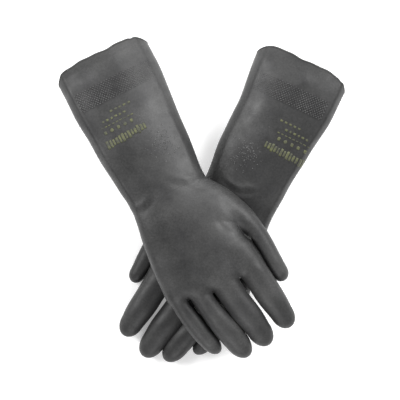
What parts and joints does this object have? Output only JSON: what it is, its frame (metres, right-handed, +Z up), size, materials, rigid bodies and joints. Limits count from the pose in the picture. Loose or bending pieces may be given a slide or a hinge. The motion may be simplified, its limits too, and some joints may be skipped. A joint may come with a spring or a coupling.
{
  "type": "pair of electrical insulating gloves",
  "caption": "Pair of black rubber insulating gauntlets with flocked lining, crossed with the backs of the hands up; digits, wrists and the upper glove move.",
  "frame": {"origin": "centre of the overall box, at the height of the table the gloves lie on", "axes": "+Z up, away from the table; the cuffs point to +Y and the fingertips to -Y; +X is to the right seen from above with the cuffs at the top"},
  "size_m": [0.2855, 0.3295, 0.0787],
  "materials": {
    "rubber": "matt black dipped rubber",
    "flock": "cotton flock lining, matt",
    "print": "matt olive printed ink"
  },
  "bodies": {
    "left_hand": {"left_hand_shell": "rubber", "left_hand_lining": "flock"},
    "left_sleeve": {"left_gauntlet_shell": "rubber", "left_gauntlet_lining": "flock", "left_cuff_bead": "rubber", "left_grip_band": "rubber", "left_marking": "print"},
    "left_thumb": {"left_thumb_stall": "rubber", "left_thumb_lining": "flock"},
    "left_index": {"left_index_stall": "rubber", "left_index_lining": "flock"},
    "left_middle": {"left_middle_stall": "rubber", "left_middle_lining": "flock"},
    "left_ring": {"left_ring_stall": "rubber", "left_ring_lining": "flock"},
    "left_little": {"left_little_stall": "rubber", "left_little_lining": "flock"},
    "right_hand": {"right_hand_shell": "rubber", "right_hand_lining": "flock"},
    "right_sleeve": {"right_gauntlet_shell": "rubber", "right_gauntlet_lining": "flock", "right_cuff_bead": "rubber", "right_grip_band": "rubber", "right_marking": "print"},
    "right_thumb": {"right_thumb_stall": "rubber", "right_thumb_lining": "flock"},
    "right_index": {"right_index_stall": "rubber", "right_index_lining": "flock"},
    "right_middle": {"right_middle_stall": "rubber", "right_middle_lining": "flock"},
    "right_ring": {"right_ring_stall": "rubber", "right_ring_lining": "flock"},
    "right_little": {"right_little_stall": "rubber", "right_little_lining": "flock"}
  },
  "joints": [
    {"name": "left_wrist_bend", "type": "hinge", "parent": "left_hand", "child": "left_sleeve", "pos_m": [0.04738, 0.02618, 0.02211], "axis": [0.8988, -0.4384, 0], "range_deg": [-40, 50], "stiffness_Nm_per_rad": 1.2},
    {"name": "left_thumb_bend", "type": "hinge", "parent": "left_hand", "child": "left_thumb", "pos_m": [-0.05168, -0.04678, 0.01219], "axis": [0.8423, -0.5391, 0], "range_deg": [-20, 70], "stiffness_Nm_per_rad": 0.08},
    {"name": "left_index_bend", "type": "hinge", "parent": "left_hand", "child": "left_index", "pos_m": [-0.0591, -0.10324, 0.01694], "axis": [0.8083, -0.5888, 0], "range_deg": [-20, 80], "stiffness_Nm_per_rad": 0.08},
    {"name": "left_middle_bend", "type": "hinge", "parent": "left_hand", "child": "left_middle", "pos_m": [-0.03325, -0.11808, 0.01788], "axis": [0.7972, -0.6038, 0], "range_deg": [-20, 80], "stiffness_Nm_per_rad": 0.08},
    {"name": "left_ring_bend", "type": "hinge", "parent": "left_hand", "child": "left_ring", "pos_m": [-0.00841, -0.12796, 0.01744], "axis": [0.7592, -0.6509, 0], "range_deg": [-20, 80], "stiffness_Nm_per_rad": 0.08},
    {"name": "left_little_bend", "type": "hinge", "parent": "left_hand", "child": "left_little", "pos_m": [0.01681, -0.13136, 0.01439], "axis": [0.8215, -0.5701, 0], "range_deg": [-15, 80], "stiffness_Nm_per_rad": 0.08},
    {"name": "right_glove_lift", "type": "slide", "parent": "left_hand", "child": "right_hand", "axis": [0, 0, 1], "range_m": [0, 0.2]},
    {"name": "right_wrist_bend", "type": "hinge", "parent": "right_hand", "child": "right_sleeve", "pos_m": [-0.04663, 0.03473, 0.05071], "axis": [0.8918, 0.4524, 0], "range_deg": [-40, 50], "stiffness_Nm_per_rad": 1.2},
    {"name": "right_thumb_bend", "type": "hinge", "parent": "right_hand", "child": "right_thumb", "pos_m": [0.06149, -0.04049, 0.05319], "axis": [0.8305, 0.557, 0], "range_deg": [-20, 30], "stiffness_Nm_per_rad": 0.08},
    {"name": "right_index_bend", "type": "hinge", "parent": "right_hand", "child": "right_index", "pos_m": [0.06675, -0.09164, 0.05242], "axis": [0.8061, 0.5918, 0], "range_deg": [-20, 75], "stiffness_Nm_per_rad": 0.08},
    {"name": "right_middle_bend", "type": "hinge", "parent": "right_hand", "child": "right_middle", "pos_m": [0.04102, -0.10582, 0.05318], "axis": [0.7792, 0.6268, 0], "range_deg": [-20, 45], "stiffness_Nm_per_rad": 0.08},
    {"name": "right_ring_bend", "type": "hinge", "parent": "right_hand", "child": "right_ring", "pos_m": [0.0171, -0.11796, 0.05268], "axis": [0.76, 0.6499, 0], "range_deg": [-20, 25], "stiffness_Nm_per_rad": 0.08},
    {"name": "right_little_bend", "type": "hinge", "parent": "right_hand", "child": "right_little", "pos_m": [-0.00756, -0.1215, 0.05087], "axis": [0.8194, 0.5733, 0], "range_deg": [-20, 15], "stiffness_Nm_per_rad": 0.08}
  ]
}
